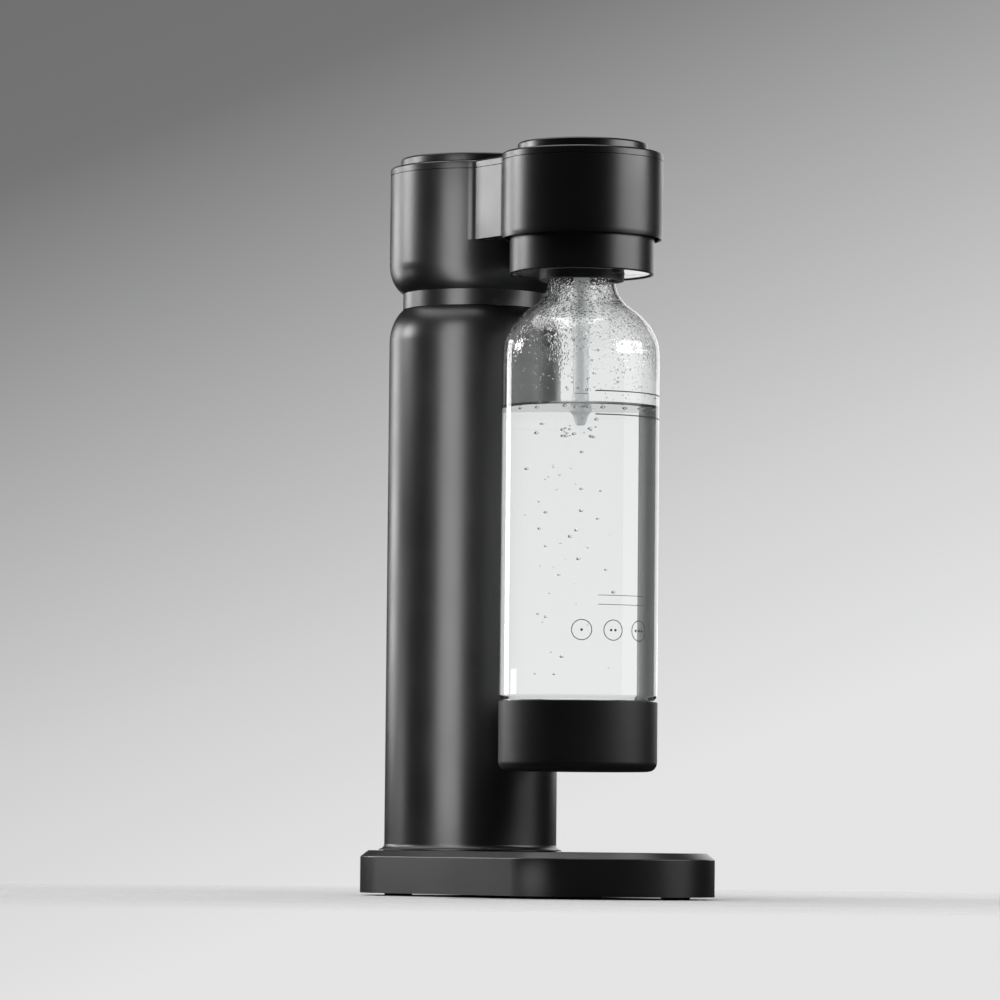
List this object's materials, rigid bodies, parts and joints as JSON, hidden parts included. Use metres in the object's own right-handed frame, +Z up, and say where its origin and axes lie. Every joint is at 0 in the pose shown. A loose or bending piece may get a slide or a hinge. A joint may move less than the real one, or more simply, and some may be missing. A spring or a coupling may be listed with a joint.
{
  "type": "soda carbonator",
  "caption": "Slim worktop carbonating machine: round gas column, bridged twin-drum head with push button, tilting bottle holder and a clear hanging bottle on an oblong base.",
  "frame": {"origin": "middle of the footprint on the worktop, under the middle of the base", "axes": "+X from the column towards the bottle (the front), +Y to the machine's left, +Z up"},
  "size_m": [0.25, 0.125, 0.4205],
  "materials": {
    "body_black": "satin, very fine moulded texture",
    "cup_black": "satin",
    "inner_plastic": "matt moulded",
    "steel": "zinc plated, fine brushed",
    "plated_steel": "polished",
    "brass": "machined",
    "cast_zinc": "die cast",
    "rubber": "matt",
    "cylinder_paint": "powder coated",
    "bottle_clear": "clear, glossy",
    "nozzle_pale": "translucent, smooth"
  },
  "bodies": {
    "stand": {"base_shell": "body_black", "column_tube": "body_black", "head_casing": "body_black", "head_top_cover": "body_black", "rear_cap": "body_black", "base_cover": "inner_plastic", "cylinder_cradle": "inner_plastic", "button_guide": "inner_plastic", "base_weight": "steel", "cradle_screw_front": "steel", "cradle_screw_rear": "steel", "tie_rod_left": "steel", "tie_rod_right": "steel", "rod_nut_left": "steel", "rod_nut_right": "steel", "chassis_plate": "steel", "cover_screw_left": "steel", "cover_screw_right": "steel", "button_spring": "steel", "lever_pin": "steel", "lever_bracket": "steel", "base_screw_1": "steel", "base_screw_2": "steel", "base_screw_3": "steel", "base_screw_4": "steel", "relief_valve": "brass", "hose_fitting": "brass", "valve_block": "cast_zinc", "rubber_foot_1": "rubber", "rubber_foot_2": "rubber", "rubber_foot_3": "rubber", "rubber_foot_4": "rubber", "valve_seal": "rubber", "gas_hose": "rubber"},
    "back_cover": {"back_cover": "body_black"},
    "cylinder": {"gas_cylinder": "cylinder_paint", "cylinder_valve": "brass"},
    "button": {"button_cap": "body_black", "button_stem": "inner_plastic"},
    "lever": {"lever": "steel"},
    "valve_pin": {"valve_pin": "brass"},
    "holder": {"holder_ring": "body_black", "holder_plate": "plated_steel", "plate_screw_front": "steel", "plate_screw_rear": "steel", "neck_collar": "inner_plastic", "bottle_seal": "rubber", "nozzle_block": "cast_zinc", "nozzle_tube": "nozzle_pale", "nozzle_tip": "nozzle_pale", "tilt_pin_left": "steel", "tilt_pin_right": "steel"},
    "bottle": {"bottle": "bottle_clear", "bottle_cup": "cup_black"}
  },
  "joints": [
    {"name": "back_cover_slide", "type": "slide", "parent": "stand", "child": "back_cover", "axis": [-1, 0, 0], "range_m": [0, 0.06]},
    {"name": "cylinder_turn", "type": "hinge", "parent": "stand", "child": "cylinder", "pos_m": [-0.0625, 0, 0.2], "axis": [0, 0, -1], "range_deg": [0, 360]},
    {"name": "button_press", "type": "slide", "parent": "stand", "child": "button", "axis": [0, 0, -1], "range_m": [0, 0.004], "stiffness_N_per_m": 1200, "springref_m": -0.004, "deforming": ["button_spring"]},
    {"name": "lever_turn", "type": "hinge", "parent": "stand", "child": "lever", "pos_m": [-0.099, 0, 0.394], "axis": [0, 1, 0], "range_deg": [0, 1.66]},
    {"name": "valve_pin_press", "type": "slide", "parent": "stand", "child": "valve_pin", "axis": [0, 0, -1], "range_m": [0, 0.00106]},
    {"name": "holder_tilt", "type": "hinge", "parent": "stand", "child": "holder", "pos_m": [0.0395, 0, 0.37], "axis": [0, -1, 0], "range_deg": [0, 15]},
    {"name": "bottle_drop", "type": "slide", "parent": "holder", "child": "bottle", "axis": [0, 0, -1], "range_m": [0, 0.042]}
  ],
  "couplings": [
    {"joint": "lever_turn", "follows": "button_press", "rad_per_m": 7.2202},
    {"joint": "valve_pin_press", "follows": "button_press", "ratio": 0.26354}
  ]
}
